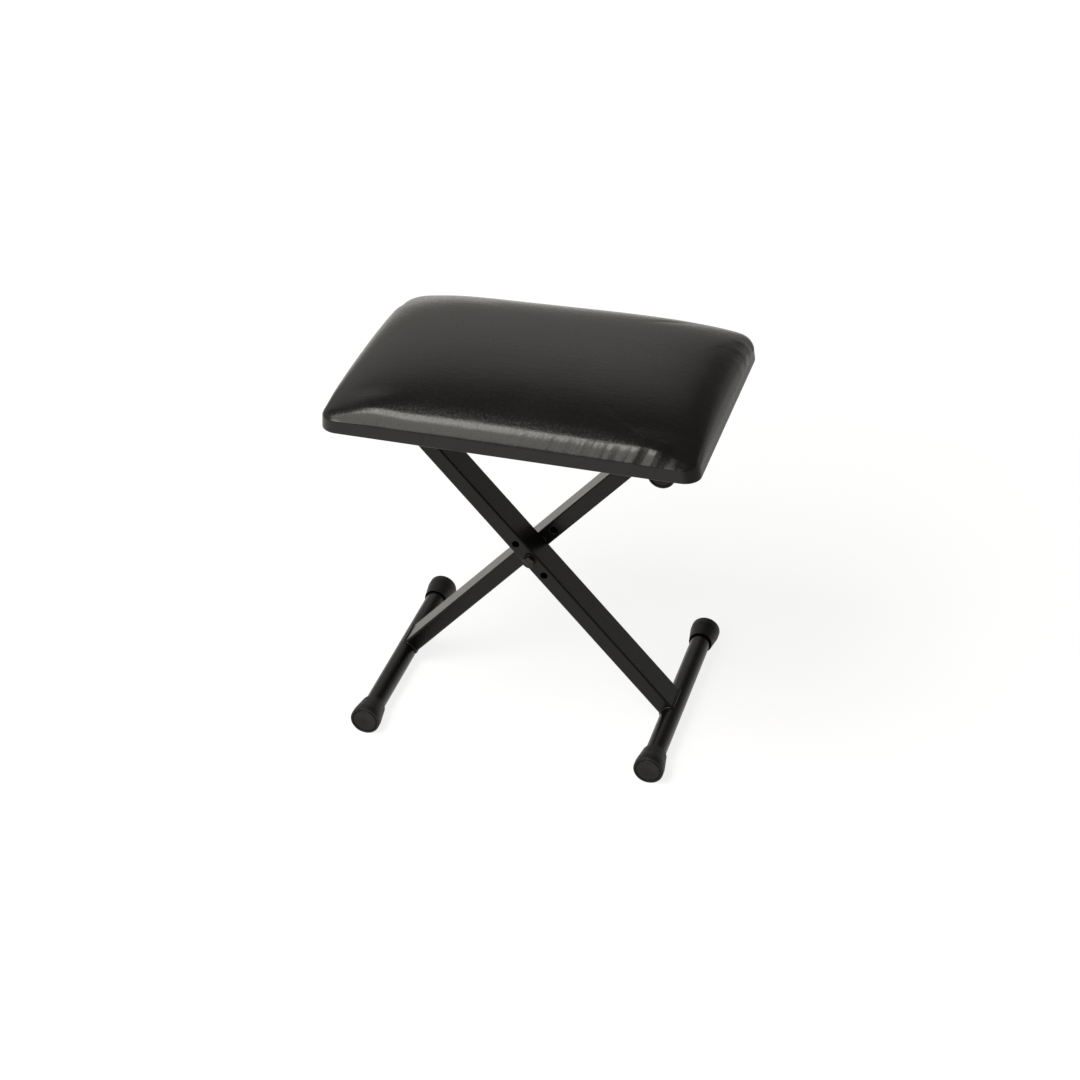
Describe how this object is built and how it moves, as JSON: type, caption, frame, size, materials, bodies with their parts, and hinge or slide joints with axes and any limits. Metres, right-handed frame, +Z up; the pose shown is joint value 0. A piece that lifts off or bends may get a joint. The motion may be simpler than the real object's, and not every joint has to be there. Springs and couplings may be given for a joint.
{
  "type": "folding keyboard bench",
  "caption": "Padded rectangular seat hinged on crossed tube legs that turn on one bolt and stand on rubber-capped cross tubes.",
  "frame": {"origin": "on the floor, under the middle of the seat", "axes": "+X along the seat's width, to the right seen from the front; +Y from front to back; +Z up"},
  "size_m": [0.44, 0.324, 0.4831],
  "materials": {
    "frame_paint": "satin black powder coat",
    "bare_steel": "plain",
    "black_zinc": "black oxide",
    "zinc": "zinc plated",
    "rubber": "matt",
    "nylon": "moulded",
    "plywood": "raw",
    "foam": "open cell foam",
    "vinyl": "grained imitation leather"
  },
  "bodies": {
    "front_leg": {"front_leg_tube": "frame_paint", "front_leg_foot_tube": "frame_paint", "front_leg_foot_cap_front": "rubber", "front_leg_foot_cap_rear": "rubber", "front_leg_pivot_bush": "bare_steel", "pivot_bolt": "black_zinc", "pivot_washer_front": "black_zinc", "pivot_washer_rear": "black_zinc", "pivot_spacer": "nylon", "pivot_nut": "black_zinc", "hinge_tube": "frame_paint", "hinge_cap_front": "rubber", "hinge_cap_rear": "rubber"},
    "rear_leg": {"rear_leg_tube": "frame_paint", "rear_leg_foot_tube": "frame_paint", "rear_leg_foot_cap_front": "rubber", "rear_leg_foot_cap_rear": "rubber", "rear_leg_pivot_bush": "bare_steel", "rest_tube": "frame_paint", "rest_cap_front": "rubber", "rest_cap_rear": "rubber"},
    "hinge_bushes": {"hinge_bush_front": "nylon", "hinge_bush_rear": "nylon"},
    "seat": {"seat_board": "plywood", "seat_foam": "foam", "seat_cover": "vinyl", "hinge_bracket_front": "frame_paint", "hinge_bracket_rear": "frame_paint", "stop_bracket_front": "frame_paint", "stop_bracket_rear": "frame_paint", "hinge_screw_front_1": "zinc", "hinge_screw_front_2": "zinc", "hinge_screw_front_3": "zinc", "hinge_screw_front_4": "zinc", "hinge_screw_rear_1": "zinc", "hinge_screw_rear_2": "zinc", "hinge_screw_rear_3": "zinc", "hinge_screw_rear_4": "zinc", "stop_screw_front_1": "zinc", "stop_screw_front_2": "zinc", "stop_screw_front_3": "zinc", "stop_screw_rear_1": "zinc", "stop_screw_rear_2": "zinc", "stop_screw_rear_3": "zinc"}
  },
  "joints": [
    {"name": "seat_fold", "type": "hinge", "parent": "front_leg", "child": "hinge_bushes", "pos_m": [-0.1847, 0, 0.40858], "axis": [0, -1, 0], "range_deg": [0, 38.2]},
    {"name": "leg_fold", "type": "hinge", "parent": "front_leg", "child": "rear_leg", "pos_m": [-0.007, 0, 0.21329], "axis": [0, -1, 0], "range_deg": [0, 76.4]},
    {"name": "seat_tip", "type": "hinge", "parent": "hinge_bushes", "child": "seat", "pos_m": [-0.1847, 0, 0.40858], "axis": [0, -1, 0], "range_deg": [0, 90]}
  ],
  "couplings": [
    {"joint": "leg_fold", "follows": "seat_fold", "ratio": 2}
  ]
}
